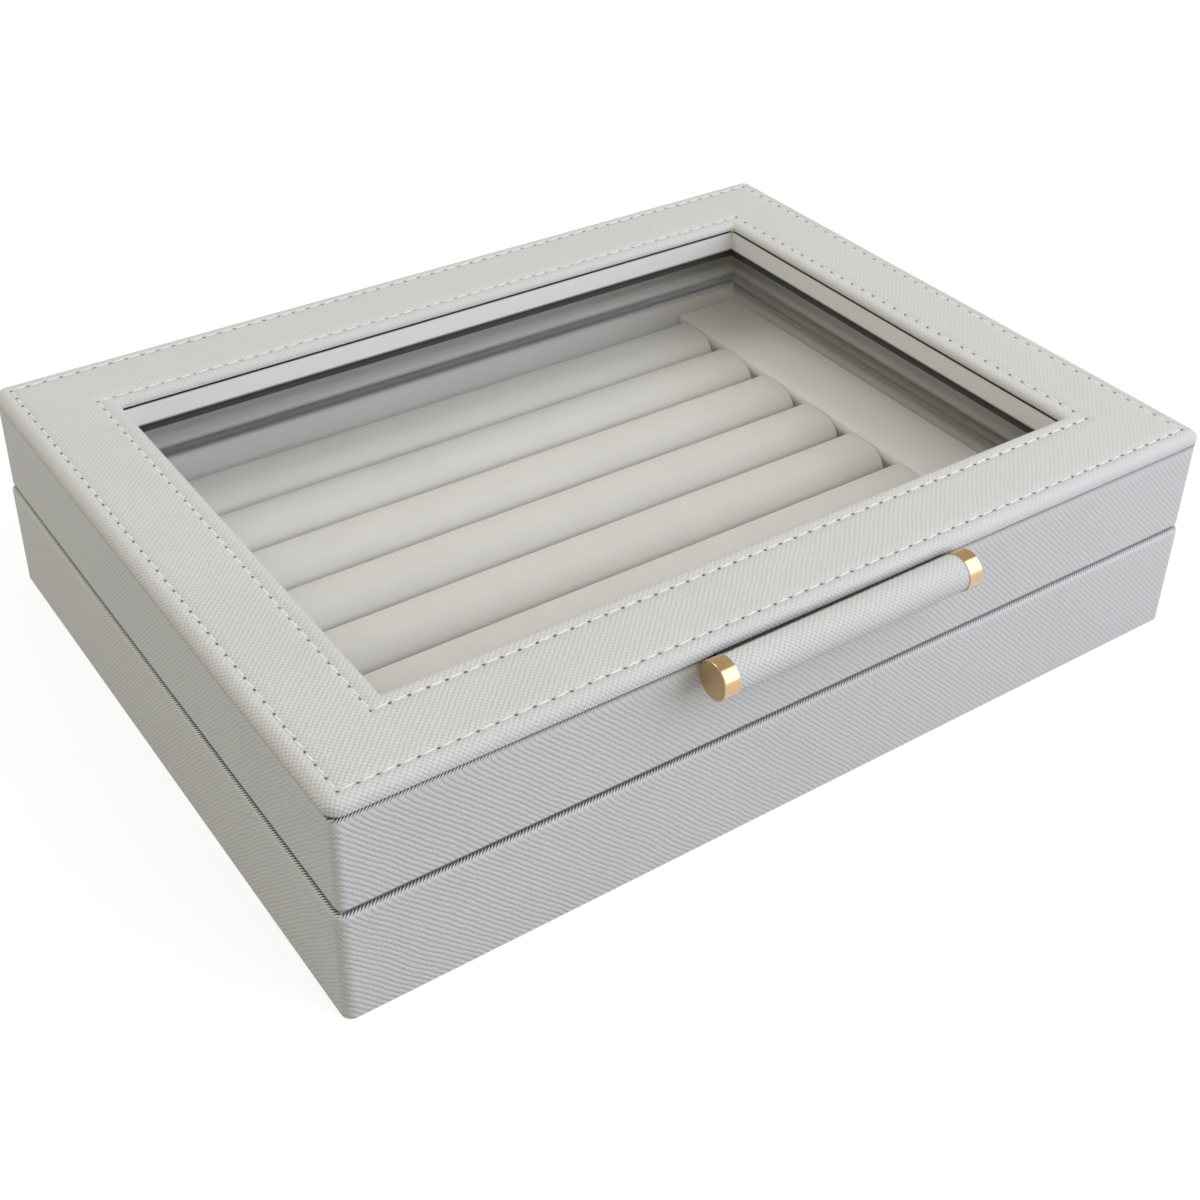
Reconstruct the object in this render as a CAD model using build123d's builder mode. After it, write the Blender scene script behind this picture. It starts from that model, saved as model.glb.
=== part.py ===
"""Ring display box: a leatherette-covered case with a glazed, padded lid.

The base holds a velvet insert of soft rolls.  The lid turns on two small hinges at the back and
is lifted by a leather-wrapped pull at the front.

Frame: the origin is the middle of the underside.  +X runs along the long side, the pull is at -Y,
the hinges are at +Y and +Z is up.  Everything is in millimetres, with the lid closed.
"""
from build123d import *
import os

# ------------------------------------------------------------------ driving dimensions
# Outside of the case
box_length = 240.0          # base, left to right
box_width = 180.0           # base, front to back
base_height = 29.0          # table to the rim of the base
lid_height = 24.7           # rim of the lid to the underside of the padded frame
seam_gap = 0.3              # air between the two rims when the lid is shut
lid_inset = 0.5             # the lid's walls stand this far inside the base's
corner_radius = 2.5         # upright corners of the base
rim_radius = 1.2            # soft edge where the leather turns over a rim

# Sheet and board
leather = 0.8               # leatherette skin
base_board = 9.0            # side walls of the base
lid_board = 8.0             # side walls of the lid
floor_board = 3.0           # bottom of the base
top_board = 4.1             # window frame of the lid
liner = 3.2                 # velvet-covered card inside the walls
liner_lip = 1.7             # the base liner stands this far above the rim and guides the lid
liner_gap = 0.6             # air between the base liner and the lid liner
liner_radius = 1.2          # soft edges of the liners
bottom_hem = 12.0           # leather turned under the base
felt_gap = 0.2              # between that hem and the felt sheet

# Window and padded frame
window_border = 24.0        # outer edge of the pad to the window
lip_under = 6.0             # window leather turned under the board
pad_height = 3.5            # thickness of the padded frame
pad_card_height = 1.4       # card under its foam
pad_edge = 2.7              # rounding of its outer top edge
pad_inner_edge = 1.6        # rounding along the window
pad_under_edge = 0.6        # rounding of its lower outer edge
glass = 2.0                 # window pane
glass_radius = 1.0          # corners of the pane
glass_clearance = 0.7       # pane to the lid's walls
seal = 1.4                  # glazing tape between the board and the pane
seal_setback = 0.4          # its inner edge, back from the window's edge

# Ring insert
insert_card = 1.5           # board that carries the rolls
insert_clearance = 0.3      # round the board and the end pads
roll_count = 8
roll_gap = 0.3              # between neighbouring rolls
roll_corner = 7.5           # the rolls press on each other, so their section is a rounded square
roll_end_radius = 1.5       # soft ends
end_pad_width = 21.1        # flat velvet strip at each end of the rolls
end_pad_radius = 1.0        # its soft top edges
roll_end_gap = 0.2          # rolls to end pads

# Front pull
pull_length = 72.0          # over the two caps
pull_cap_radius = 4.5
pull_cap_length = 3.9
pull_cap_end = 0.8          # thickness of a cap's end wall
pull_cap_edge = 0.3         # rounding of that end
pull_core_radius = 3.45     # wooden dowel
pull_leather = 0.9          # wrap round the dowel
pull_wall_gap = 0.3         # caps to the front of the base
pull_drop = 1.5             # middle of the dowel below the padded frame
pull_tail_depth = 12.0      # leather tucked under the pad
pull_tail = 0.7             # its thickness
pull_tail_gap = 0.05        # above and below the tail
tail_clearance = 0.2        # round its other edges
pull_flex_gap = 0.3         # between the tail and the wrap, where the leather bends

# Hinges
hinge_inset = 45.0          # end of the box to the middle of a hinge
hinge_length = 22.0
hinge_leaf_depth = 8.5      # from the back of the base into the wall
hinge_barrel_radius = 1.8
hinge_pin_radius = 0.9
hinge_pin_clearance = 0.03
hinge_back_gap = 0.1        # barrel to the back of the base
knuckle_length = 7.6        # middle knuckle, on the lid's leaf
knuckle_gap = 0.2
leaf_clearance = 0.2        # round a leaf, in the leather
screw_spacing = 14.0        # the two screws of a leaf
screw_inset = 4.8           # back of the base to the screws
screw_radius = 1.0
screw_head_radius = 1.75
screw_length = 8.0
screw_fit = 0.05            # round a screw, in the leaf and in the board

# ------------------------------------------------------------------ heights and sizes that follow
SIDES = ("front", "back", "left", "right")

floor_top = leather + floor_board
base_wall_top = base_height - leather
base_liner_top = base_height + liner_lip

lid_bottom = base_height + seam_gap
lid_wall_bottom = lid_bottom + leather
pad_bottom = lid_bottom + lid_height
top_board_top = pad_bottom - leather
top_board_bottom = top_board_top - top_board
seal_top = top_board_bottom - leather
glass_top = seal_top - seal
glass_bottom = glass_top - glass
lid_liner_bottom = base_liner_top + liner_gap
pad_card_top = pad_bottom + pad_card_height
pad_top = pad_bottom + pad_height
foam_top = pad_top - leather

# A frame's size is given by its distance in from the outside of the base.
base_board_in = leather
base_liner_in = leather + base_board
insert_in = base_liner_in + liner
lid_skin_in = lid_inset
lid_board_in = lid_inset + leather
lid_liner_in = lid_board_in + lid_board
window_board_in = window_border - leather

insert_top = floor_top + insert_card
roll_pitch = (box_width - 2 * insert_in - 2 * roll_end_gap) / roll_count
roll_radius = (roll_pitch - roll_gap) / 2
roll_top = insert_top + 2 * roll_radius
end_pad_outer = box_length / 2 - insert_in - insert_clearance
end_pad_inner = end_pad_outer - end_pad_width

pull_y = -(box_width / 2 + pull_wall_gap + pull_cap_radius)
pull_z = pad_bottom - pull_drop
pull_wrap_radius = pull_core_radius + pull_leather
pull_wrap_length = pull_length - 2 * pull_cap_length
tail_bottom = pad_bottom + pull_tail_gap
tail_middle = tail_bottom + pull_tail / 2
tail_slot = pull_tail + 2 * pull_tail_gap

hinge_y = box_width / 2 + hinge_back_gap + hinge_barrel_radius
hinge_z = base_height + seam_gap / 2
hinge_x = box_length / 2 - hinge_inset
leaf_inner_y = box_width / 2 - hinge_leaf_depth
lid_back_y = box_width / 2 - lid_inset
screw_y = box_width / 2 - screw_inset

os.makedirs("parts", exist_ok=True)


def write(piece, name):
    """Label a finished piece and write its STEP file."""
    piece.part.label = name
    export_step(piece.part, f"parts/{name}.step")


# ------------------------------------------------------------------ shared outlines
def rounded(inset, radius):
    """The case's outline, set in from the outside of the base, with rounded corners."""
    return RectangleRounded(box_length - 2 * inset, box_width - 2 * inset, radius)


def cut_out(inset, mode=Mode.SUBTRACT):
    """The case's outline with square corners, taken away from a sketch."""
    return Rectangle(box_length - 2 * inset, box_width - 2 * inset, mode=mode)


def keep_side(side, inset, depth):
    """Keep one side of a frame sketch, cut at 45 degrees where it meets its neighbours."""
    x, y = box_length / 2 - inset, box_width / 2 - inset
    corners = [(-x, -y), (x, -y), (x - depth, depth - y), (depth - x, depth - y)]
    if side in ("left", "right"):
        corners = [(-x, -y), (depth - x, depth - y), (depth - x, y - depth), (-x, y)]
    if side in ("back", "right"):
        corners = [(-u, -v) for u, v in corners]
    Polygon(*corners, align=None, mode=Mode.INTERSECT)


def hinge_pockets(z, height):
    """Cut the leather away where the hinge leaves lie."""
    with BuildSketch(Plane.XY.offset(z)) as pockets:
        with Locations(*[(side * hinge_x, leaf_inner_y - leaf_clearance) for side in (-1, 1)]):
            Rectangle(hinge_length + 2 * leaf_clearance, box_width / 2,
                      align=(Align.CENTER, Align.MIN))
    extrude(pockets.sketch, amount=height, mode=Mode.SUBTRACT)


def screw_places():
    """Plan positions of the four screws that hold a pair of leaves."""
    return [(side * hinge_x + end * screw_spacing / 2, screw_y)
            for side in (-1, 1) for end in (-1, 1)]


# ------------------------------------------------------------------ base
with BuildPart() as base_floor_board:
    with BuildSketch(Plane.XY.offset(leather)):
        rounded(base_board_in, corner_radius - leather)
    extrude(amount=floor_board)
write(base_floor_board, "base_floor_board")

for side in SIDES:
    with BuildPart() as base_wall:
        with BuildSketch(Plane.XY.offset(floor_top)):
            rounded(base_board_in, corner_radius - leather)
            cut_out(base_liner_in)
            keep_side(side, base_board_in, base_board)
        extrude(amount=base_wall_top - floor_top)
        if side == "back":
            with BuildSketch(Plane.XY.offset(base_wall_top)):
                with Locations(*screw_places()):
                    Circle(screw_radius + screw_fit)
            extrude(amount=-screw_length, mode=Mode.SUBTRACT)
    write(base_wall, f"base_{side}_wall")

with BuildPart() as base_wrap:
    with BuildSketch():
        rounded(0, corner_radius)
    extrude(amount=base_height)
    fillet(faces().sort_by(Axis.Z)[-1].edges(), rim_radius)
    fillet(faces().sort_by(Axis.Z)[0].edges(), leather / 2)
    with BuildSketch(Plane.XY.offset(leather)):
        rounded(base_board_in, corner_radius - leather)
    extrude(amount=base_wall_top - leather, mode=Mode.SUBTRACT)
    with BuildSketch(Plane.XY.offset(base_wall_top)):
        cut_out(base_liner_in, mode=Mode.ADD)
    extrude(amount=leather, mode=Mode.SUBTRACT)
    with BuildSketch():
        cut_out(bottom_hem, mode=Mode.ADD)
    extrude(amount=leather, mode=Mode.SUBTRACT)
    hinge_pockets(base_wall_top, leather)
write(base_wrap, "base_wrap")

with BuildPart() as base_felt_sheet:
    with BuildSketch():
        cut_out(bottom_hem + felt_gap, mode=Mode.ADD)
    extrude(amount=leather)
write(base_felt_sheet, "base_felt_sheet")

for side in SIDES:
    with BuildPart() as base_liner:
        with BuildSketch(Plane.XY.offset(floor_top)):
            cut_out(base_liner_in, mode=Mode.ADD)
            cut_out(insert_in)
            keep_side(side, base_liner_in, liner)
        extrude(amount=base_liner_top - floor_top)
        run = Axis.X if side in ("front", "back") else Axis.Y
        fillet(faces().sort_by(Axis.Z)[-1].edges().filter_by(run), liner_radius)
    write(base_liner, f"base_{side}_liner")

# ------------------------------------------------------------------ ring insert
with BuildPart() as insert_board:
    with BuildSketch(Plane.XY.offset(floor_top)):
        cut_out(insert_in + insert_clearance, mode=Mode.ADD)
    extrude(amount=insert_card)
write(insert_board, "insert_board")

for number in range(roll_count):
    roll_y = (number - (roll_count - 1) / 2) * roll_pitch
    with BuildPart() as ring_roll:
        with BuildSketch(Plane.YZ):
            with Locations((roll_y, insert_top + roll_radius)):
                RectangleRounded(2 * roll_radius, 2 * roll_radius, roll_corner)
        extrude(amount=end_pad_inner - roll_end_gap, both=True)
        for end in (0, -1):
            fillet(faces().sort_by(Axis.X)[end].edges(), roll_end_radius)
    write(ring_roll, f"ring_roll_{number + 1}")

for side, direction in (("left", -1), ("right", 1)):
    with BuildPart() as end_pad:
        with BuildSketch(Plane.XY.offset(insert_top)):
            with Locations((direction * (end_pad_inner + end_pad_width / 2), 0)):
                Rectangle(end_pad_width, box_width - 2 * (insert_in + insert_clearance))
        extrude(amount=roll_top - insert_top)
        fillet(faces().sort_by(Axis.Z)[-1].edges(), end_pad_radius)
    write(end_pad, f"insert_end_pad_{side}")

# ------------------------------------------------------------------ lid case
for side in SIDES:
    with BuildPart() as lid_wall:
        with BuildSketch(Plane.XY.offset(lid_wall_bottom)):
            rounded(lid_board_in, corner_radius - lid_board_in)
            cut_out(lid_liner_in)
            keep_side(side, lid_board_in, lid_board)
        extrude(amount=top_board_bottom - lid_wall_bottom)
        if side == "back":
            with BuildSketch(Plane.XY.offset(lid_wall_bottom)):
                with Locations(*screw_places()):
                    Circle(screw_radius + screw_fit)
            extrude(amount=screw_length, mode=Mode.SUBTRACT)
    write(lid_wall, f"lid_{side}_wall")

with BuildPart() as lid_top_board:
    with BuildSketch(Plane.XY.offset(top_board_bottom)):
        rounded(lid_board_in, corner_radius - lid_board_in)
        cut_out(window_board_in)
    extrude(amount=top_board)
write(lid_top_board, "lid_top_board")

with BuildPart() as lid_wrap:
    with BuildSketch(Plane.XY.offset(lid_bottom)):
        rounded(lid_skin_in, corner_radius - lid_inset)
    extrude(amount=lid_height)
    fillet(faces().sort_by(Axis.Z)[0].edges(), rim_radius)
    with BuildSketch(Plane.XY.offset(lid_wall_bottom)):
        rounded(lid_board_in, corner_radius - lid_board_in)
    extrude(amount=top_board_top - lid_wall_bottom, mode=Mode.SUBTRACT)
    with BuildSketch(Plane.XY.offset(lid_bottom)):
        cut_out(lid_liner_in, mode=Mode.ADD)
    extrude(amount=leather, mode=Mode.SUBTRACT)
    with BuildSketch(Plane.XY.offset(top_board_top)):
        cut_out(window_board_in, mode=Mode.ADD)
    extrude(amount=leather, mode=Mode.SUBTRACT)
    hinge_pockets(lid_bottom, leather)
write(lid_wrap, "lid_wrap")

# ------------------------------------------------------------------ window
with BuildPart() as window_lip:
    with BuildSketch(Plane.XY.offset(seal_top)):
        cut_out(window_board_in, mode=Mode.ADD)
        cut_out(window_border)
    extrude(amount=pad_card_top - seal_top)
    with BuildSketch(Plane.XY.offset(seal_top)):
        cut_out(window_border - lip_under, mode=Mode.ADD)
        cut_out(window_board_in)
    extrude(amount=leather)
write(window_lip, "window_lip")

with BuildPart() as glass_seal:
    with BuildSketch(Plane.XY.offset(glass_top)):
        cut_out(window_border - lip_under, mode=Mode.ADD)
        cut_out(window_border - seal_setback)
    extrude(amount=seal)
write(glass_seal, "glass_seal")

with BuildPart() as glass_pane:
    with BuildSketch(Plane.XY.offset(glass_bottom)):
        rounded(lid_liner_in + glass_clearance, glass_radius)
    extrude(amount=glass)
write(glass_pane, "glass_pane")

for side in SIDES:
    with BuildPart() as lid_liner:
        with BuildSketch(Plane.XY.offset(lid_liner_bottom)):
            cut_out(lid_liner_in, mode=Mode.ADD)
            cut_out(lid_liner_in + liner)
            keep_side(side, lid_liner_in, liner)
        extrude(amount=glass_bottom - lid_liner_bottom)
        run = Axis.X if side in ("front", "back") else Axis.Y
        fillet(faces().sort_by(Axis.Z)[0].edges().filter_by(run), liner_radius)
    write(lid_liner, f"lid_{side}_liner")


# ------------------------------------------------------------------ padded frame
def pad_core():
    """What the cover of the padded frame is drawn over: card below and foam above."""
    with BuildSketch(Plane.XY.offset(pad_bottom)) as outline:
        rounded(leather, corner_radius)
        cut_out(window_board_in)
    extrude(outline.sketch, amount=foam_top - pad_bottom)
    fillet(faces().sort_by(Axis.Z)[-1].outer_wire().edges(), pad_edge - leather)
    fillet(faces().sort_by(Axis.Z)[-1].inner_wires()[0].edges(), pad_inner_edge - leather)


def tail_pocket():
    """Room for the leather tail of the pull, in the underside of the padded frame."""
    with BuildSketch(Plane.XY.offset(pad_bottom)) as pocket:
        with Locations((0, -box_width / 2)):
            Rectangle(pull_wrap_length + 2 * tail_clearance, 2 * (pull_tail_depth + tail_clearance))
    extrude(pocket.sketch, amount=tail_slot, mode=Mode.SUBTRACT)


with BuildPart() as pad_card:
    pad_core()
    with BuildSketch(Plane.XY.offset(pad_bottom)):
        cut_out(0, mode=Mode.ADD)
    extrude(amount=pad_card_height, mode=Mode.INTERSECT)
    tail_pocket()
write(pad_card, "pad_card")

for side in SIDES:
    with BuildPart() as pad_foam:
        pad_core()
        with BuildSketch(Plane.XY.offset(pad_card_top)):
            cut_out(0, mode=Mode.ADD)
            keep_side(side, 0, window_border)
        extrude(amount=pad_height, mode=Mode.INTERSECT)
    write(pad_foam, f"pad_foam_{side}")

with BuildPart() as pad_filling:
    pad_core()

with BuildPart() as pad_cover:
    with BuildSketch(Plane.XY.offset(pad_bottom)):
        rounded(0, corner_radius + leather)
        cut_out(window_border)
    extrude(amount=pad_height)
    fillet(faces().sort_by(Axis.Z)[-1].outer_wire().edges(), pad_edge)
    fillet(faces().sort_by(Axis.Z)[-1].inner_wires()[0].edges(), pad_inner_edge)
    fillet(faces().sort_by(Axis.Z)[0].outer_wire().edges(), pad_under_edge)
    add(pad_filling.part, mode=Mode.SUBTRACT)
    with BuildSketch(Plane.XY.offset(pad_bottom)):
        cut_out(window_board_in, mode=Mode.ADD)
    extrude(amount=pad_card_height, mode=Mode.SUBTRACT)
    tail_pocket()
write(pad_cover, "pad_cover")

# ------------------------------------------------------------------ front pull
with BuildPart() as pull_rod:
    with BuildSketch(Plane.YZ):
        with Locations((pull_y, pull_z)):
            Circle(pull_core_radius)
    extrude(amount=pull_length / 2 - pull_cap_end, both=True)
write(pull_rod, "pull_rod")

with BuildPart() as pull_wrap:
    with BuildSketch(Plane.YZ):
        with Locations((pull_y, pull_z)):
            Circle(pull_wrap_radius)
        with Locations((-box_width / 2 - pull_flex_gap - pull_tail / 2, tail_middle)):
            Circle(pull_tail / 2)
        make_hull()
        with Locations((pull_y, pull_z)):
            Circle(pull_core_radius, mode=Mode.SUBTRACT)
    extrude(amount=pull_wrap_length / 2, both=True)
write(pull_wrap, "pull_wrap")

for side, direction, outer_end in (("left", -1, 0), ("right", 1, -1)):
    with BuildPart() as pull_cap:
        with BuildSketch(Plane.YZ.offset(direction * pull_length / 2)):
            with Locations((pull_y, pull_z)):
                Circle(pull_cap_radius)
        extrude(amount=-direction * pull_cap_length)
        fillet(edges().filter_by(GeomType.CIRCLE).group_by(Axis.X)[outer_end], pull_cap_edge)
        with BuildSketch(Plane.YZ.offset(direction * (pull_length / 2 - pull_cap_end))):
            with Locations((pull_y, pull_z)):
                Circle(pull_core_radius)
        extrude(amount=-direction * pull_cap_length, mode=Mode.SUBTRACT)
    write(pull_cap, f"pull_cap_{side}")

with BuildPart() as pull_tail_piece:
    with BuildSketch(Plane.XY.offset(tail_bottom)):
        with Locations((0, -box_width / 2)):
            Rectangle(pull_wrap_length, pull_tail_depth, align=(Align.CENTER, Align.MIN))
    extrude(amount=pull_tail)
write(pull_tail_piece, "pull_tail")


# ------------------------------------------------------------------ hinges
def leaf_plate(z, back_y, tongues):
    """A leaf's flat plate, with tongues that reach its own knuckles.

    Each tongue is (middle along X, length), counted from the middle of the hinge.
    """
    with BuildSketch(Plane.XY.offset(z)) as plate:
        with Locations((x, leaf_inner_y)):
            Rectangle(hinge_length, back_y - leaf_inner_y, align=(Align.CENTER, Align.MIN))
        for middle, length in tongues:
            with Locations((x + middle, leaf_inner_y)):
                Rectangle(length, hinge_y - leaf_inner_y, align=(Align.CENTER, Align.MIN))
    extrude(plate.sketch, amount=leather)


def knuckles(tongues):
    """The rolled barrels of one leaf, bored for the pin."""
    for middle, length in tongues:
        with BuildSketch(Plane.YZ.offset(x + middle)) as barrel:
            with Locations((hinge_y, hinge_z)):
                Circle(hinge_barrel_radius)
        extrude(barrel.sketch, amount=length / 2, both=True)
    with BuildSketch(Plane.YZ.offset(x)) as bore:
        with Locations((hinge_y, hinge_z)):
            Circle(hinge_pin_radius + hinge_pin_clearance)
    extrude(bore.sketch, amount=hinge_length, both=True, mode=Mode.SUBTRACT)


outer_length = (hinge_length - knuckle_length) / 2 - knuckle_gap
outer_middle = (hinge_length - outer_length) / 2
base_tongues = [(-outer_middle, outer_length), (outer_middle, outer_length)]
lid_tongues = [(0, knuckle_length)]


def countersinks(z, up):
    """Countersunk screw holes through a leaf; up is the way the heads face."""
    with BuildSketch(Plane.XY.offset(z)) as narrow:
        with Locations(*[(x + end * screw_spacing / 2, screw_y) for end in (-1, 1)]):
            Circle(screw_radius + screw_fit)
    with BuildSketch(Plane.XY.offset(z + up * leather)) as wide:
        with Locations(*[(x + end * screw_spacing / 2, screw_y) for end in (-1, 1)]):
            Circle(screw_head_radius + screw_fit)
    for low, high in zip(narrow.sketch.faces(), wide.sketch.faces()):
        loft([low, high], mode=Mode.SUBTRACT)


for side, x in (("left", -hinge_x), ("right", hinge_x)):
    with BuildPart() as base_leaf:
        leaf_plate(base_wall_top, box_width / 2, base_tongues)
        knuckles(base_tongues)
        countersinks(base_wall_top, 1)
    write(base_leaf, f"hinge_{side}_base_leaf")

    with BuildPart() as lid_leaf:
        leaf_plate(lid_bottom, lid_back_y, lid_tongues)
        knuckles(lid_tongues)
        countersinks(lid_wall_bottom, -1)
    write(lid_leaf, f"hinge_{side}_lid_leaf")

    with BuildPart() as hinge_pin:
        with BuildSketch(Plane.YZ.offset(x)):
            with Locations((hinge_y, hinge_z)):
                Circle(hinge_pin_radius)
        extrude(amount=hinge_length / 2, both=True)
    write(hinge_pin, f"hinge_{side}_pin")


def screws(head_z, up):
    """Four countersunk screws whose heads face up or down."""
    for u, v in screw_places():
        with BuildSketch(Plane.XZ.offset(-v)) as half_profile:
            Polygon((u, head_z), (u + screw_head_radius, head_z),
                    (u + screw_radius, head_z - up * leather),
                    (u + screw_radius, head_z - up * screw_length),
                    (u, head_z - up * screw_length), align=None)
        revolve(half_profile.sketch, axis=Axis((u, v, 0), (0, 0, 1)))


with BuildPart() as base_screws:
    screws(base_height, 1)
write(base_screws, "hinge_screws_base")

with BuildPart() as lid_screws:
    screws(lid_bottom, -1)
write(lid_screws, "hinge_screws_lid")
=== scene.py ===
# %% [markdown]
# # A ring display box, dressed step by step
# The solids of this box come from a CAD part: every board, liner, roll, hinge and cap is already
# there, at its real size. This lesson gives each of them its finish, and models again the pieces
# that are soft or sewn: the padded frame on the lid, its stitches, the velvet rolls, the leather of
# the pull. Everything is in metres, in the frame of the CAD part: X to the right, Y to the back,
# Z up, with the origin in the middle of the underside.

# %% Load the frame
import math
import random

import bmesh
import bpy
from mathutils import Matrix, Vector, kdtree, noise


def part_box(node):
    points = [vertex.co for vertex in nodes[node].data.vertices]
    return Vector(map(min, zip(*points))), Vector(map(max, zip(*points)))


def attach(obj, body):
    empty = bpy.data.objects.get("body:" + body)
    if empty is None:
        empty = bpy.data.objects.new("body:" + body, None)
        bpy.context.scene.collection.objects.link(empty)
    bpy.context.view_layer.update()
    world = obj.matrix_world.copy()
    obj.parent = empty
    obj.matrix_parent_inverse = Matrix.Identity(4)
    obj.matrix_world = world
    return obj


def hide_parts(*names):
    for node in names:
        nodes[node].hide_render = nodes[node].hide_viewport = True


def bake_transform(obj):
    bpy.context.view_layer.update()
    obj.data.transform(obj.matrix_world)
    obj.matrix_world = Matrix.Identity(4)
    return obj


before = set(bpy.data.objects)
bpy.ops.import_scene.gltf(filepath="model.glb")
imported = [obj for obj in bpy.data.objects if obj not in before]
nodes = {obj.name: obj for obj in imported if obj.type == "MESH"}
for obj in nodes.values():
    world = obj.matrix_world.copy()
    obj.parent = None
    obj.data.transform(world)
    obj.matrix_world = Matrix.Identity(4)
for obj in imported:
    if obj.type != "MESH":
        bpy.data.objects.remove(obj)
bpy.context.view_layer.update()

MM = 0.001

# %% [markdown]
# ## Camera
# The camera stands where the photographer stood: to the left of the front, a good forearm's length
# away, looking down at about 34 degrees. It leans by a degree, as a hand-held camera does. The
# picture's middle lies a little below the lens axis, and the shift says so without a second tilt.

# %% Camera
camera_data = bpy.data.cameras.new("camera")
camera_data.lens = 53.308
camera_data.sensor_width = 36.0
camera_data.shift_y = -0.0833
camera_data.clip_start = 0.01
camera = bpy.data.objects.new("camera", camera_data)
camera.location = (-0.21719, -0.30840, 0.28236)
camera.rotation_euler = [math.radians(angle) for angle in (56.262, -1.11, -34.744)]
bpy.context.scene.collection.objects.link(camera)
bpy.context.scene.camera = camera
print("camera at", [round(v, 3) for v in camera.location])

# %% [markdown]
# ## Small helpers for shader nodes
# A material is a tree of nodes. A few helpers keep the trees readable: `add` makes a node and fills
# its sockets with numbers or with the outputs of other nodes. The others make one sum, one change
# of range, one noise, one blend of two colours and one empty group.

# %% Node helpers
def add(tree, kind, sockets=(), **settings):
    made = tree.nodes.new(kind)
    for name, value in settings.items():
        setattr(made, name, value)
    for socket, value in dict(sockets).items():
        if isinstance(value, bpy.types.NodeSocket):
            tree.links.new(value, made.inputs[socket])
        else:
            made.inputs[socket].default_value = value
    return made


def maths(tree, operation, *values, clamp=False):
    sockets = dict(enumerate(values))
    return add(tree, "ShaderNodeMath", sockets, operation=operation, use_clamp=clamp).outputs[0]


def remap(tree, value, low, high, to_low=0.0, to_high=1.0, smooth=False):
    """value from low to high becomes to_low to to_high, and stays inside them."""
    kind = "SMOOTHSTEP" if smooth else "LINEAR"
    sockets = {"Value": value, "From Min": low, "From Max": high, "To Min": to_low, "To Max": to_high}
    return add(tree, "ShaderNodeMapRange", sockets, interpolation_type=kind).outputs[0]


def centred(tree, value, gain):
    """value less a half, times gain."""
    return maths(tree, "MULTIPLY", maths(tree, "SUBTRACT", value, 0.5), gain)


def noise_at(tree, place, scale, detail=2.0, **more):
    sockets = {"Vector": place, "Scale": scale, "Detail": detail, **more}
    return add(tree, "ShaderNodeTexNoise", sockets).outputs[0]


def stretched_place(tree, given):
    sockets = {0: given["Place"], 1: given["Stretch"]}
    return add(tree, "ShaderNodeVectorMath", sockets, operation="MULTIPLY").outputs[0]


def blend_colours(tree, factor, first, second):
    made = add(tree, "ShaderNodeMix", data_type="RGBA")
    for socket, value in zip((made.inputs[0], made.inputs[6], made.inputs[7]), (factor, first, second)):
        if isinstance(value, bpy.types.NodeSocket):
            tree.links.new(value, socket)
        else:
            socket.default_value = value
    return made.outputs[2]


def new_group(name, inputs, outputs):
    """An empty shader group: inputs are (name, socket type, default), outputs (name, socket type)."""
    group = bpy.data.node_groups.new(name, "ShaderNodeTree")
    for label, kind, value in inputs:
        group.interface.new_socket(label, in_out="INPUT", socket_type=kind).default_value = value
    for label, kind in outputs:
        group.interface.new_socket(label, in_out="OUTPUT", socket_type=kind)
    return group, group.nodes.new("NodeGroupInput").outputs, group.nodes.new("NodeGroupOutput").inputs


FLOAT, VECTOR = "NodeSocketFloat", "NodeSocketVector"
print("node helpers ready")

# %% [markdown]
# ## Where a skin lies flat
# The leatherette was flat before it was glued, so its grain is drawn on a flat plan: how far round
# the box a point is, and how high up, with the width of a turned edge added to the height. For the
# two wraps that plan follows from the place alone. The group finds the nearest side, measures along
# it from corner to corner, and adds the sides up, so the grain runs on round every corner. It also
# puts out how far inside the outer faces the point lies.

# %% Group: round the box
HALF_X, HALF_Y = 120 * MM, 90 * MM

around, given, result = new_group(
    "Round the box", [("Place", VECTOR, (0, 0, 0))], [("Flat", VECTOR), ("Inside", FLOAT)]
)
axes = add(around, "ShaderNodeSeparateXYZ", {0: given["Place"]}).outputs
in_x = maths(around, "SUBTRACT", HALF_X, maths(around, "ABSOLUTE", axes["X"]))
in_y = maths(around, "SUBTRACT", HALF_Y, maths(around, "ABSOLUTE", axes["Y"]))
on_long_side = maths(around, "LESS_THAN", in_y, in_x)
at_back = maths(around, "GREATER_THAN", axes["Y"], 0.0)
at_right = maths(around, "GREATER_THAN", axes["X"], 0.0)


def either_value(tree, switch, when_off, when_on):
    return add(tree, "ShaderNodeMix", {0: switch, 2: when_off, 3: when_on}, data_type="FLOAT").outputs[0]


front = axes["X"]
back = maths(around, "SUBTRACT", 2 * HALF_X + 2 * HALF_Y, axes["X"])
left = maths(around, "SUBTRACT", -HALF_X - HALF_Y, axes["Y"])
right = maths(around, "ADD", HALF_X + HALF_Y, axes["Y"])
long_side = either_value(around, at_back, front, back)
short_side = either_value(around, at_right, left, right)
length = either_value(around, on_long_side, short_side, long_side)
inside = maths(around, "MINIMUM", in_x, in_y)
height = maths(around, "ADD", axes["Z"], inside)
around.links.new(inside, result["Inside"])
around.links.new(add(around, "ShaderNodeCombineXYZ", {0: length, 1: height}).outputs[0], result["Flat"])
print("group:", around.name, len(around.nodes), "nodes")

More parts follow.
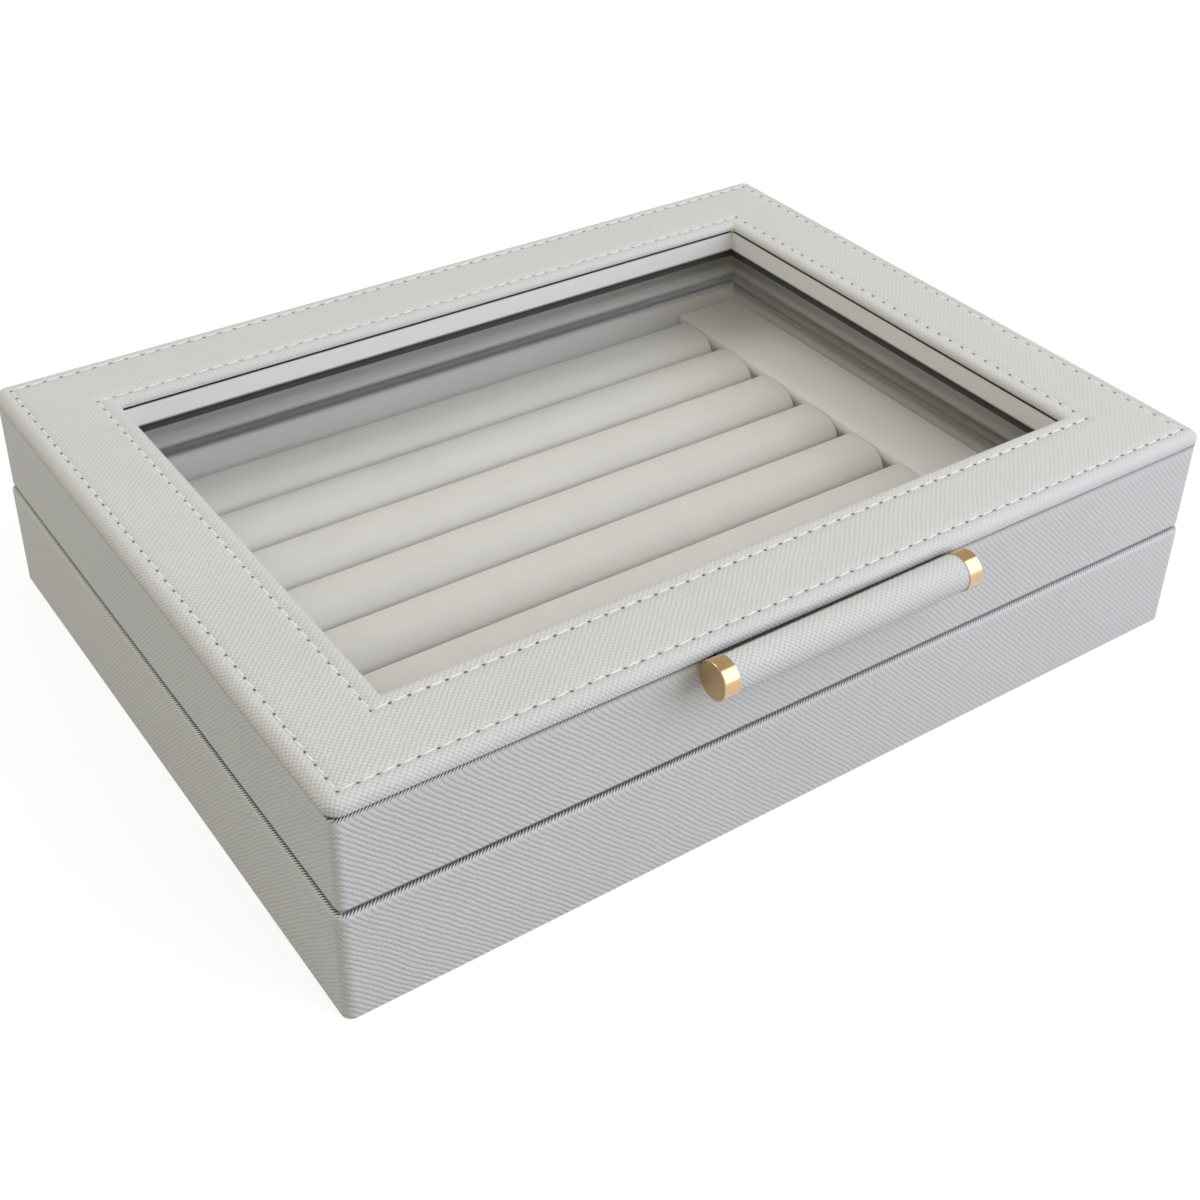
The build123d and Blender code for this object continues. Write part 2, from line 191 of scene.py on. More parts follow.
# %% [markdown]
# ## The grain of the leatherette
# The skin is a cross-grain leatherette: fine slanting ribs, pressed into it hot, a little wavy, and
# crossed by a fainter set that breaks them into beads. On the front they run down to the right, on
# the pad from the front left to the back right. The group reads the flat plan. A wave of the
# distance at 45 degrees makes the ribs, slow noise bends them, and the same wave at the other 45
# degrees makes the crossing. Near a turned upper edge the skin was pulled: there the ribs stand
# steeper and fade. It puts out a height for the bump, a shade for the colour, a mask of that edge
# and slanted dashes, which seams use for their teeth.

# %% Group: pressed ribs
ribs, given, result = new_group(
    "Pressed ribs",
    [("Flat", VECTOR, (0, 0, 0)), ("Pitch", FLOAT, 1.08 * MM), ("Wobble", FLOAT, 1.6 * MM),
     ("Edge", FLOAT, 1.0), ("Edge width", FLOAT, 4 * MM), ("Cross", FLOAT, 0.30)],
    [("Height", FLOAT), ("Shade", FLOAT), ("Edge mask", FLOAT), ("Dashes", FLOAT)],
)
plan = given["Flat"]
upright = add(ribs, "ShaderNodeSeparateXYZ", {0: plan}).outputs["Y"]
near_edge = remap(ribs, upright, maths(ribs, "SUBTRACT", given["Edge"], given["Edge width"]), given["Edge"])
pulled = maths(ribs, "MULTIPLY", maths(ribs, "POWER", near_edge, 2.0),
               maths(ribs, "MULTIPLY", given["Edge width"], 0.20))
bent = centred(ribs, noise_at(ribs, plan, 60.0), given["Wobble"])
jitter = centred(ribs, noise_at(ribs, plan, 700.0, 1.0), 0.35 * MM)
shift = maths(ribs, "SUBTRACT", maths(ribs, "ADD", bent, jitter), pulled)


def wave(direction, pitch_share, sharpness):
    """Rounded ridges with narrow grooves between them, across that direction of the flat plan."""
    sockets = {0: plan, 1: direction}
    along = add(ribs, "ShaderNodeVectorMath", sockets, operation="DOT_PRODUCT").outputs["Value"]
    pitch = maths(ribs, "MULTIPLY", given["Pitch"], pitch_share)
    turns = maths(ribs, "MULTIPLY", maths(ribs, "DIVIDE", maths(ribs, "ADD", along, shift), pitch), math.pi)
    return maths(ribs, "POWER", maths(ribs, "ABSOLUTE", maths(ribs, "SINE", turns)), sharpness)


crest = wave((0.7071, 0.7071, 0), 1.0, 0.9)
cross = wave((0.7071, -0.7071, 0), 0.80, 0.8)
dashes = wave((1.35, -0.60, 0), 1.0, 1.0)
cells = noise_at(ribs, plan, 1700.0, 1.0)
fading = remap(ribs, near_edge, 0.3, 1.0, 1.0, 0.35, smooth=True)
pressed = maths(ribs, "ADD", maths(ribs, "MULTIPLY", crest, maths(ribs, "SUBTRACT", 0.86, given["Cross"])),
                maths(ribs, "MULTIPLY", cross, given["Cross"]))
relief = maths(ribs, "MULTIPLY", maths(ribs, "ADD", pressed, maths(ribs, "MULTIPLY", cells, 0.36)), fading)
ribs.links.new(relief, result["Height"])
cloudy = noise_at(ribs, plan, 25.0, 3.0)
shade = maths(ribs, "ADD", maths(ribs, "SUBTRACT", relief, 0.73), centred(ribs, cloudy, 0.30))
ribs.links.new(maths(ribs, "ADD", shade, 0.5, clamp=True), result["Shade"])
ribs.links.new(near_edge, result["Edge mask"])
ribs.links.new(dashes, result["Dashes"])
print("group:", ribs.name, len(ribs.nodes), "nodes")

# %% [markdown]
# ## Painted shade where skins meet
# Where two wrapped edges meet, the skin turns under into a narrow gap that lies in shade. The line
# there is painted shade of that gap, with a little glue and dust: nearly black and slightly toothed,
# because the ribs end there. The group masks a band of heights. What is linked to its relief, here
# the slanted dashes of the ribs, moves the border up and down.

# %% Group: seam line
seam_shade, given, result = new_group(
    "Seam shade line",
    [("Height", FLOAT, 0.0), ("Relief", FLOAT, 0.5), ("Low", FLOAT, 1.0), ("High", FLOAT, 1.1),
     ("Soft", FLOAT, 0.1 * MM), ("Teeth", FLOAT, 0.5 * MM)],
    [("Mask", FLOAT)],
)
tooth = maths(seam_shade, "MULTIPLY", maths(seam_shade, "SUBTRACT", given["Relief"], 0.6), given["Teeth"])
over, under = maths(seam_shade, "SUBTRACT", given["Height"], tooth), maths(seam_shade, "ADD", given["Height"], tooth)
above = remap(seam_shade, over, maths(seam_shade, "SUBTRACT", given["Low"], given["Soft"]), given["Low"], smooth=True)
below = remap(seam_shade, under, given["High"], maths(seam_shade, "ADD", given["High"], given["Soft"]), 1.0, 0.0,
              smooth=True)
seam_shade.links.new(maths(seam_shade, "MULTIPLY", above, below), result["Mask"])
print("group:", seam_shade.name, len(seam_shade.nodes), "nodes")

# %% [markdown]
# ## Velvet
# The rolls and liners wear a short pile. It has no shine of its own, but it brightens where it is
# seen at a slant, which the sheen of the shader does. The group gives the fine tufts and the slow
# patches where the pile lies another way.

# %% Group: short pile
pile, given, result = new_group(
    "Short pile",
    [("Place", VECTOR, (0, 0, 0)), ("Tuft", FLOAT, 0.3 * MM), ("Patch", FLOAT, 14 * MM)],
    [("Height", FLOAT), ("Shade", FLOAT)],
)
tufts = noise_at(pile, given["Place"], maths(pile, "DIVIDE", 1.0, given["Tuft"]), 3.0, Roughness=0.65)
patches = noise_at(pile, given["Place"], maths(pile, "DIVIDE", 1.0, given["Patch"]))
pile.links.new(tufts, result["Height"])
uneven = maths(pile, "ADD", centred(pile, tufts, 0.9), centred(pile, patches, 0.4))
pile.links.new(maths(pile, "ADD", uneven, 0.5, clamp=True), result["Shade"])
print("group:", pile.name, len(pile.nodes), "nodes")

# %% [markdown]
# ## Fibres, for board, card, felt and wood
# Grey board, grey card and felt are all matted fibres, and a dowel is fibres in one direction.
# One group does them all: noise stretched by a vector, fine for the fibres and coarse for the tone.

# %% Group: fibres
fibres, given, result = new_group(
    "Fibres",
    [("Place", VECTOR, (0, 0, 0)), ("Stretch", VECTOR, (1, 1, 1)), ("Fibre", FLOAT, 0.4 * MM)],
    [("Height", FLOAT), ("Shade", FLOAT)],
)
stretched = stretched_place(fibres, given)
size = maths(fibres, "DIVIDE", 1.0, given["Fibre"])
strands = noise_at(fibres, stretched, size, 4.0, Roughness=0.7, Distortion=0.6)
tone = noise_at(fibres, stretched, maths(fibres, "MULTIPLY", size, 0.06))
fibres.links.new(strands, result["Height"])
mixed = maths(fibres, "ADD", centred(fibres, strands, 1.2), centred(fibres, tone, 0.8))
fibres.links.new(maths(fibres, "ADD", mixed, 0.5, clamp=True), result["Shade"])
print("group:", fibres.name, len(fibres.nodes), "nodes")

# %% [markdown]
# ## Needle holes
# Between two stitches the thread dives into a hole. A hole is half a millimetre wide, far smaller
# than the faces of the frame, so the shader draws it, as a dip and as painted shade: a row runs along
# one axis, the group folds the distance along it into one pitch, and puts out a round mask at each hole.

# %% Group: needle holes
holes, given, result = new_group(
    "Needle holes",
    [("Along", FLOAT, 0.0), ("Across", FLOAT, 0.0), ("Pitch", FLOAT, 4.3 * MM), ("Start", FLOAT, 0.0),
     ("Row end", FLOAT, 0.1)],
    [("Mask", FLOAT)],
)
folded = maths(holes, "PINGPONG", maths(holes, "SUBTRACT", given["Along"], given["Start"]),
               maths(holes, "MULTIPLY", given["Pitch"], 0.5))
flat = maths(holes, "MULTIPLY", folded, 0.62)
apart = maths(holes, "SQRT", maths(holes, "ADD", maths(holes, "MULTIPLY", flat, flat),
                                   maths(holes, "MULTIPLY", given["Across"], given["Across"])))
spot = remap(holes, apart, 0.08 * MM, 0.34 * MM, 1.0, 0.0, smooth=True)
inside = maths(holes, "LESS_THAN", maths(holes, "ABSOLUTE", given["Along"]), given["Row end"])
holes.links.new(maths(holes, "MULTIPLY", spot, inside), result["Mask"])
print("group:", holes.name, len(holes.nodes), "nodes")

# %% [markdown]
# ## Handling marks for metal
# The caps are polished and the hinges are plated. What keeps them from looking like computer metal
# is a breath of unevenness in the polish: soft smudges and hair-fine scratches along one direction.

# %% Group: handling marks
marks, given, result = new_group(
    "Handling marks",
    [("Place", VECTOR, (0, 0, 0)), ("Stretch", VECTOR, (1, 1, 1))],
    [("Smudge", FLOAT), ("Scratch", FLOAT)],
)
drawn = stretched_place(marks, given)
marks.links.new(noise_at(marks, given["Place"], 320.0), result["Smudge"])
marks.links.new(noise_at(marks, drawn, 2500.0), result["Scratch"])
print("group:", marks.name, len(marks.nodes), "nodes")

# %% [markdown]
# ## The materials
# Each finish is one function or one short cell. All of them read Object coordinates, which on
# these pieces are the CAD part's own metres, so a pitch in millimetres is the same on every piece.

# %% A bare material
def new_material(name):
    material = bpy.data.materials.new(name)
    material.use_nodes = True
    tree = material.node_tree
    shader = tree.nodes["Principled BSDF"]
    spot_on_piece = add(tree, "ShaderNodeTexCoord").outputs["Object"]
    return material, tree, shader, spot_on_piece


def placed(tree, group, **sockets):
    made = add(tree, "ShaderNodeGroup", node_tree=group)
    for name, value in sockets.items():
        socket = made.inputs[name.replace("_", " ")]
        if isinstance(value, bpy.types.NodeSocket):
            tree.links.new(value, socket)
        else:
            socket.default_value = value
    return made.outputs


def bump(tree, shader, height, depth, strength=1.0):
    made = add(tree, "ShaderNodeBump", {"Height": height, "Distance": depth, "Strength": strength})
    tree.links.new(made.outputs[0], shader.inputs["Normal"])


def tint(colour, factor):
    return tuple(min(1.0, channel * factor) for channel in colour) + (1.0,)


# %% Leatherette
LEATHER = (0.610, 0.605, 0.580)
CRISP_CORNER = (-120 * MM, -90 * MM, 30 * MM)
STITCH_ROWS = (
    # half length in x, half length in y, stitches along x, stitches along y
    (116.2 * MM, 86.2 * MM, 54, 40),
    (100.25 * MM, 69.7 * MM, 47, 32),
)


def leatherette(name, edge=1.0, shaded_seams=(), plan=None, stitched=False, colour=LEATHER, depth=0.14 * MM,
                contrast=0.13, cross=0.30, pitch=1.08 * MM, rims=False):
    """plan names the UV map with the flat plan, else the place round the box is used. With rims the
    painted shade lines of the seams stay on the outer edge, so an open rim is plain."""
    material, tree, shader, spot_on_piece = new_material(name)
    outside = placed(tree, around, Place=spot_on_piece)
    flat = add(tree, "ShaderNodeUVMap", uv_map=plan).outputs[0] if plan else outside["Flat"]
    grain = placed(tree, ribs, Flat=flat, Edge=edge, Cross=cross, Pitch=pitch)
    sockets = {0: spot_on_piece, 1: CRISP_CORNER}
    away = add(tree, "ShaderNodeVectorMath", sockets, operation="DISTANCE").outputs["Value"]
    crisp = remap(tree, away, 30 * MM, 220 * MM, 1.25, 0.50)
    strong = 1.0
    if rims:
        on_edge = remap(tree, outside["Inside"], 1.0 * MM, 1.8 * MM, 1.0, 0.0)
        strong = maths(tree, "MULTIPLY", on_edge, remap(tree, away, 60 * MM, 220 * MM, 1.0, 0.65))
    shade = maths(tree, "ADD", centred(tree, grain["Shade"], crisp), 0.5)
    skin = blend_colours(tree, shade, tint(colour, 1 - contrast), tint(colour, 1 + contrast * 0.7))
    # Near a turned upper edge the colour is 9 per cent lighter: a painted highlight on the rounded edge.
    skin = blend_colours(tree, maths(tree, "POWER", grain["Edge mask"], 1.6), skin, tint(colour, 1.09))
    height = maths(tree, "MULTIPLY", grain["Height"], crisp)
    axes = add(tree, "ShaderNodeSeparateXYZ", {0: spot_on_piece}).outputs
    # Each seam paints a line of shade into the colour: the shade of the gap between two skins.
    for axis, low, high, soft, teeth, lean, dark in shaded_seams:
        across = maths(tree, "ADD", axes[axis], maths(tree, "MULTIPLY", axes["X"], lean))
        line = placed(tree, seam_shade, Height=across, Relief=grain["Dashes"], Low=low, High=high,
                      Soft=soft, Teeth=teeth)
        skin = blend_colours(tree, maths(tree, "MULTIPLY", line["Mask"], strong), skin, (dark, dark, dark, 1.0))
    if stitched:
        far_x, far_y = maths(tree, "ABSOLUTE", axes["X"]), maths(tree, "ABSOLUTE", axes["Y"])
        masks = []
        for half_x, half_y, count_x, count_y in STITCH_ROWS:
            for own, other, half, end, count in ((axes["X"], far_y, half_y, half_x, count_x),
                                                 (axes["Y"], far_x, half_x, half_y, count_y)):
                across = maths(tree, "SUBTRACT", other, half)
                masks.append(placed(tree, holes, Along=own, Across=across, Pitch=2 * end / count,
                                    Start=end, Row_end=end + 0.3 * MM)["Mask"])
        punched = masks[0]
        for mask in masks[1:]:
            punched = maths(tree, "MAXIMUM", punched, mask)
        # Each hole is painted near black: painted shade in the hole, besides its dip in the bump.
        skin = blend_colours(tree, maths(tree, "MULTIPLY", punched, 0.8), skin, (0.055, 0.040, 0.032, 1.0))
        height = maths(tree, "SUBTRACT", height, maths(tree, "MULTIPLY", punched, 3.0))
    tree.links.new(skin, shader.inputs["Base Color"])
    tree.links.new(remap(tree, grain["Height"], 0.2, 1.0, 0.62, 0.50), shader.inputs["Roughness"])
    shader.inputs["Specular IOR Level"].default_value = 0.35
    bump(tree, shader, height, depth, 1.0)
    return material


# A seam is (axis, low, high, softness, teeth, lean along X, grey of the line). Every seam line below
# is painted shade in a gap: between base and lid, under the pad, where the pull's tail goes under
# the pad, and the window lip's two lines.
base_leather = leatherette("leatherette base", rims=True, edge=29.8 * MM, depth=0.17 * MM, contrast=0.15,
                           shaded_seams=[("Z", 28.88 * MM, 30.0 * MM, 0.35 * MM, 0.65 * MM, 0.0, 0.07)])
lid_leather = leatherette("leatherette lid", rims=True, edge=54.4 * MM, depth=0.17 * MM, contrast=0.15,
                          shaded_seams=[("Z", 29.0 * MM, 29.40 * MM, 0.15 * MM, 0.4 * MM, 0.0, 0.05),
                                 ("Z", 53.50 * MM, 54.2 * MM, 0.30 * MM, 1.2 * MM, 0.0, 0.04)])
# The window lip is the same leatherette written 13 per cent lighter: painted light from the front. Its two dark
# lines, at 48 and 55 mm, are painted shade.
painted_light_lip_leather = leatherette("leatherette window lip", edge=60.0 * MM, colour=tuple(c * 1.13 for c in LEATHER),
                          shaded_seams=[("Z", 48.0 * MM, 48.9 * MM, 0.9 * MM, 0.0, 0.0, 0.030),
                                 ("Z", 55.3 * MM, 56.0 * MM, 0.9 * MM, 0.0, 0.0, 0.10)])
pad_leather = leatherette("leatherette stitched pad", plan="Skin", stitched=True, depth=0.15 * MM,
                          contrast=0.15, cross=0.42, pitch=1.04 * MM,
                          shaded_seams=[("Z", 53.5 * MM, 54.30 * MM, 0.15 * MM, 0.3 * MM, 0.0, 0.045)])
pull_leather = leatherette("leatherette pull", plan="Skin", depth=0.20 * MM, contrast=0.18,
                           cross=0.42, pitch=1.04 * MM,
                           shaded_seams=[("Y", -92.1 * MM, -60 * MM, 0.15 * MM, 1.1 * MM, -0.014, 0.003)])
print("leatherette materials: 5")

# %% Velvet
VELVET = (0.715, 0.690, 0.650)


def velvet(name, colour, gaps=(), nap_depth=0.12 * MM, sheen=0.25):
    """gaps are (low, high, softness, darkness) in height: shade in joints, at a foot or below glass."""
    material, tree, shader, spot_on_piece = new_material(name)
    nap = placed(tree, pile, Place=spot_on_piece)
    tone = blend_colours(tree, nap["Shade"], tint(colour, 0.88), tint(colour, 1.10))
    upright = add(tree, "ShaderNodeSeparateXYZ", {0: spot_on_piece}).outputs["Z"]
    for low, high, soft, dark in gaps:
        line = placed(tree, seam_shade, Height=upright, Low=low, High=high, Soft=soft, Teeth=0.0)
        tone = blend_colours(tree, maths(tree, "MULTIPLY", line["Mask"], dark), tone, (0.030, 0.024, 0.016, 1.0))
    tree.links.new(tone, shader.inputs["Base Color"])
    shader.inputs["Roughness"].default_value = 0.95
    shader.inputs["Specular IOR Level"].default_value = 0.15
    shader.inputs["Sheen Weight"].default_value = sheen
    shader.inputs["Sheen Roughness"].default_value = 0.45
    bump(tree, shader, nap["Height"], nap_depth, 0.8)
    return material


roll_velvet = velvet("velvet rolls", VELVET, [(0.0, 17.5 * MM, 3.5 * MM, 0.6)])
# The end strips wear the rolls' velvet written lighter: painted light against the shade near the walls. Their band
# low down is painted shade at the foot.
painted_light_strip_velvet = velvet("velvet end strips", (0.82, 0.805, 0.785), [(0.0, 20.0 * MM, 3.0 * MM, 0.85)])
base_liner_velvet = velvet("velvet base liners", (0.60, 0.585, 0.565),
                           [(30.0 * MM, 31.0 * MM, 1.6 * MM, 0.85)])
# The base's right liner is the same cloth as the other liners, written darker: painted shade under the lid.
painted_shade_liner_velvet = velvet("velvet base liner right", (0.44, 0.42, 0.38),
                          [(28.5 * MM, 31.0 * MM, 5.0 * MM, 0.65)], nap_depth=0.02 * MM, sheen=0.05)
# The lid's liners and the underside of its top are the same cloth as the base's liners, written darker: painted
# shade under the lid's frame.
painted_shade_lid_liner_velvet = velvet("velvet lid liners", (0.48, 0.46, 0.435),
                          [(31.0 * MM, 31.7 * MM, 1.6 * MM, 0.92), (44.0 * MM, 46.0 * MM, 3.0 * MM, 0.45)],
                          nap_depth=0.03 * MM, sheen=0.10)
print("velvet materials: 5")

# %% Board, card, felt, foam and wood
def fibrous(name, colour, fibre, stretch=(1, 1, 1), contrast=0.15, roughness=0.9, depth=0.08 * MM):
    material, tree, shader, spot_on_piece = new_material(name)
    matted = placed(tree, fibres, Place=spot_on_piece, Stretch=stretch, Fibre=fibre)
    mixed = blend_colours(tree, matted["Shade"], tint(colour, 1 - contrast), tint(colour, 1 + contrast))
    tree.links.new(mixed, shader.inputs["Base Color"])
    shader.inputs["Roughness"].default_value = roughness
    bump(tree, shader, matted["Height"], depth, 0.7)
    return material


board = fibrous("grey rigid board", (0.46, 0.44, 0.41), 0.7 * MM, stretch=(1, 1, 2.5))
card = fibrous("grey card", (0.56, 0.50, 0.42), 0.35 * MM, stretch=(1, 1, 6), contrast=0.12)
felt = fibrous("grey felt", (0.55, 0.54, 0.52), 0.5 * MM, contrast=0.22, roughness=1.0, depth=0.25 * MM)
foam = fibrous("padding foam", (0.86, 0.85, 0.80), 0.6 * MM, contrast=0.08, roughness=1.0, depth=0.2 * MM)
dowel = fibrous("dowel wood", (0.70, 0.55, 0.38), 0.5 * MM, stretch=(0.06, 1, 1), roughness=0.6)
tape = fibrous("glazing tape", (0.045, 0.048, 0.036), 0.4 * MM, roughness=0.7, depth=0.03 * MM)
print("fibrous materials: 6")

# %% Glass
# A pane must let the lamps through. A refracting shader alone would cast a solid shadow, so rays
# that only carry light go straight through it, and what the camera sees keeps its reflections.
glass, tree, shader, spot_on_piece = new_material("window glass")
streaks = placed(tree, marks, Place=spot_on_piece)
shader.inputs["Transmission Weight"].default_value = 1.0
shader.inputs["IOR"].default_value = 1.45
smudged = blend_colours(tree, streaks["Smudge"], (0.985, 0.990, 0.985, 1), (0.995, 0.997, 0.995, 1))
tree.links.new(smudged, shader.inputs["Base Color"])
tree.links.new(remap(tree, streaks["Smudge"], 0.3, 0.8, 0.0, 0.02), shader.inputs["Roughness"])
ray = add(tree, "ShaderNodeLightPath").outputs
carries_light = maths(tree, "MAXIMUM", ray["Is Shadow Ray"], ray["Is Diffuse Ray"])
clear = add(tree, "ShaderNodeBsdfTransparent", {"Color": (0.98, 0.98, 0.975, 1)})
either = add(tree, "ShaderNodeMixShader", {0: carries_light, 1: shader.outputs[0], 2: clear.outputs[0]})
tree.links.new(either.outputs[0], tree.nodes["Material Output"].inputs["Surface"])
print("glass ready")

# %% Metals and thread
def metal(name, colour, roughness, stretch=(1, 1, 1), scratch=0.02):
    material, tree, shader, spot_on_piece = new_material(name)
    worn = placed(tree, marks, Place=spot_on_piece, Stretch=stretch)
    shader.inputs["Metallic"].default_value = 1.0
    polish = blend_colours(tree, worn["Smudge"], tint(colour, 0.93), tint(colour, 1.05))
    tree.links.new(polish, shader.inputs["Base Color"])
    dullness = remap(tree, worn["Smudge"], 0.3, 0.7, roughness * 0.8, roughness * 1.3)
    tree.links.new(dullness, shader.inputs["Roughness"])
    bump(tree, shader, worn["Scratch"], scratch * MM, 0.3)
    return material


# The gold is written darker than polished rose gold: painted shade in its reflections.
gold = metal("rose gold caps", (0.64, 0.45, 0.25), 0.15, stretch=(1, 0.1, 0.1), scratch=0.004)
steel = metal("plated hinge steel", (0.66, 0.65, 0.63), 0.28, stretch=(0.1, 1, 1), scratch=0.01)
thread = fibrous("sewing thread", (0.84, 0.83, 0.80), 0.14 * MM, stretch=(1, -1, 1), contrast=0.10,
                 depth=0.05 * MM)
print("metals and thread ready")

# %% [markdown]
# ## Materials on the CAD pieces
# A CAD piece whose shape is right stays, and only its material slots are filled.

# %% Dress the CAD pieces
FINISHES = {
    "leather": base_leather, "board": board, "card": card, "velvet": base_liner_velvet, "felt": felt,
    "foam": foam, "glass": glass, "tape": tape, "gold": gold, "dowel": dowel, "hinge_steel": steel,
}


def slot_of(name):
    """The finish a CAD node should have, from its name."""
    words = {
        "wrap": "leather", "lip": "leather", "cover": "leather", "tail": "leather", "wall": "board",
        "board": "board", "card": "card", "felt": "felt", "liner": "velvet", "roll": "velvet",
        "end_pad": "velvet", "foam": "foam", "glass_pane": "glass", "seal": "tape", "cap": "gold",
        "rod": "dowel", "hinge": "hinge_steel",
    }
    return next((finish for word, finish in words.items() if word in name), "board")


def dress(node, material):
    node.data.materials.clear()
    node.data.materials.append(material)


for name, node in nodes.items():
    dress(node, FINISHES[slot_of(name)])
dress(nodes["lid_wrap"], lid_leather)
dress(nodes["window_lip"], painted_light_lip_leather)
# The right base liner and the lid's liners get the darker velvets: painted shade.
dress(nodes["base_right_liner"], painted_shade_liner_velvet)
dress(nodes["lid_top_board"], painted_shade_lid_liner_velvet)
for side in ("front", "back", "left", "right"):
    dress(nodes[f"lid_{side}_liner"], painted_shade_lid_liner_velvet)
print("dressed:", {finish: sum(slot_of(n) == finish for n in nodes) for finish in FINISHES})

# %% [markdown]
# ## Helpers for new pieces
# A bmesh is a mesh under construction. `piece` turns a finished one into an object at the origin,
# gives it a material, lets it ride on a CAD body and names the nodes it stands for. `extruded` draws
# edges out and hands back what is new.

# %% Piece helper
def piece(name, bm, material, body, stands_for=(), angle=None):
    bmesh.ops.recalc_face_normals(bm, faces=bm.faces)
    mesh = bpy.data.meshes.new(name)
    bm.to_mesh(mesh)
    bm.free()
    for polygon in mesh.polygons:
        polygon.use_smooth = True
    if angle is not None:
        mesh.set_sharp_from_angle(angle=math.radians(angle))
    mesh.materials.append(material)
    made = bpy.data.objects.new(name, mesh)
    bpy.context.scene.collection.objects.link(made)
    if stands_for:
        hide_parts(*stands_for)
    if body:
        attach(made, body)
    print(f"{name}: {len(mesh.polygons)} faces, stands for {list(stands_for)}")
    return made


def extruded(bm, edges):
    made = bmesh.ops.extrude_edge_only(bm, edges=edges)["geom"]
    fresh = [g for g in made if isinstance(g, bmesh.types.BMVert)]
    new = set(fresh)
    return fresh, [g for g in made if isinstance(g, bmesh.types.BMEdge) and all(v in new for v in g.verts)]


# %% [markdown]
# ## The padded frame
# A card frame with thin foam on it, wrapped in leatherette and sewn along both edges. Its section
# runs from under the outer edge over the rounded shoulder, dips into the first row of stitches,
# swells, dips into the second row and rolls into the window. A loop round the box is extruded from
# one point of that section to the next, and each loop is set in by the right amount, so the
# corners stay mitred. At each hole the needle pulled the skin down, which a last move of the
# vertices adds.

# %% Section of the padded frame
PAD_BOTTOM, PAD_TOP = 54.0 * MM, 57.5 * MM
PAD_WIDTH = 24.0 * MM
OUTER_EDGE, INNER_EDGE, UNDER_EDGE = 2.7 * MM, 1.6 * MM, 0.6 * MM
OUTER_ROW, INNER_ROW = 3.8 * MM, 20.0 * MM
SKIN = 0.8 * MM


def dip(inset):
    """How far the top lies below its highest line at that distance from the outer edge."""
    rows = sum(0.30 * math.exp(-((inset - row) / (0.75 * MM)) ** 2) for row in (OUTER_ROW, INNER_ROW))
    middle = (inset - 11.8 * MM) / (11.8 * MM)
    return (rows + 0.12 * middle ** 2) * MM


def on_arc(inset, height, radius, degrees):
    """A point of the section at that angle on a circle round (inset, height)."""
    turn = math.radians(degrees)
    return inset + radius * math.cos(turn), height + radius * math.sin(turn)


def pad_section():
    """Points (inset, height) from under the outer edge to the foot of the window edge."""
    under = (UNDER_EDGE, PAD_BOTTOM + UNDER_EDGE, UNDER_EDGE)
    outer = (OUTER_EDGE, PAD_TOP - OUTER_EDGE, OUTER_EDGE)
    inner = (PAD_WIDTH - INNER_EDGE, PAD_TOP - INNER_EDGE, INNER_EDGE)
    points = [on_arc(*under, 270 - 90 * step / 4) for step in range(5)]
    points += [on_arc(*outer, 180 - 90 * step / 8) for step in range(1, 8)]
    insets = [2.7, 3.0, 3.25, 3.55, 3.85, 4.1, 4.5, 5.2, 6.2, 7.6, 9.2, 11, 12.8, 14.6, 16.2, 17.6, 18.6, 19.1,
              19.45, 19.75, 20.0, 20.25, 20.6, 21.1, 21.7, 22.4]
    points += [(inset * MM, PAD_TOP) for inset in insets]
    points += [on_arc(*inner, 90 - 90 * step / 6) for step in range(1, 7)]
    points.append((PAD_WIDTH, PAD_BOTTOM + 0.9 * MM))
    return [(inset, height - (dip(inset) if height > PAD_TOP - 0.9 * MM else 0.0)) for inset, height in points]


section = pad_section()
print("points in the section:", len(section))

# %% Loop round the box
SIDE_STEP = 1.25 * MM
CORNER = 3.3 * MM
WINDOW_CORNER = 0.7 * MM


def frame_loop(bm):
    """A closed loop of edges: the outline of the box with rounded corners, with even steps."""
    bmesh.ops.create_grid(bm, x_segments=1, y_segments=1, size=1.0,
                          matrix=Matrix.Diagonal((HALF_X, HALF_Y, 1, 1)))
    bmesh.ops.delete(bm, geom=list(bm.faces), context="FACES_ONLY")
    bmesh.ops.bevel(bm, geom=list(bm.verts), offset=CORNER, offset_type="OFFSET", affect="VERTICES", segments=6,
                    profile=0.5, material=-1)
    for edge in [e for e in bm.edges if e.calc_length() > 10 * MM]:
        bmesh.ops.subdivide_edges(bm, edges=[edge], cuts=round(edge.calc_length() / SIDE_STEP) - 1)
    return list(bm.edges)


test = bmesh.new()
print("edges in the loop:", len(frame_loop(test)))
test.free()


# %% Extrude the loop along the section
def set_in(point, inset):
    """Where a point of the outline goes when the outline moves in: its corner shrinks with it."""
    core = Vector((max(-HALF_X + CORNER, min(HALF_X - CORNER, point.x)),
                   max(-HALF_Y + CORNER, min(HALF_Y - CORNER, point.y)), 0))
    out = Vector((point.x, point.y, 0)) - core
    out.normalize()
    radius = max(CORNER - inset, WINDOW_CORNER)
    scale_x = (HALF_X - inset - radius) / (HALF_X - CORNER)
    scale_y = (HALF_Y - inset - radius) / (HALF_Y - CORNER)
    return Vector((core.x * scale_x, core.y * scale_y, 0)) + out * radius


def flattened(points):
    """The inset each point of the section would have if the skin lay flat, from the middle out."""
    middle = min(range(len(points)), key=lambda number: abs(points[number][0] - PAD_WIDTH / 2))
    flat = [inset for inset, _ in points]
    for number in range(middle - 1, -1, -1):
        flat[number] = flat[number + 1] - math.dist(points[number], points[number + 1])
    for number in range(middle + 1, len(points)):
        flat[number] = flat[number - 1] + math.dist(points[number], points[number - 1])
    return flat


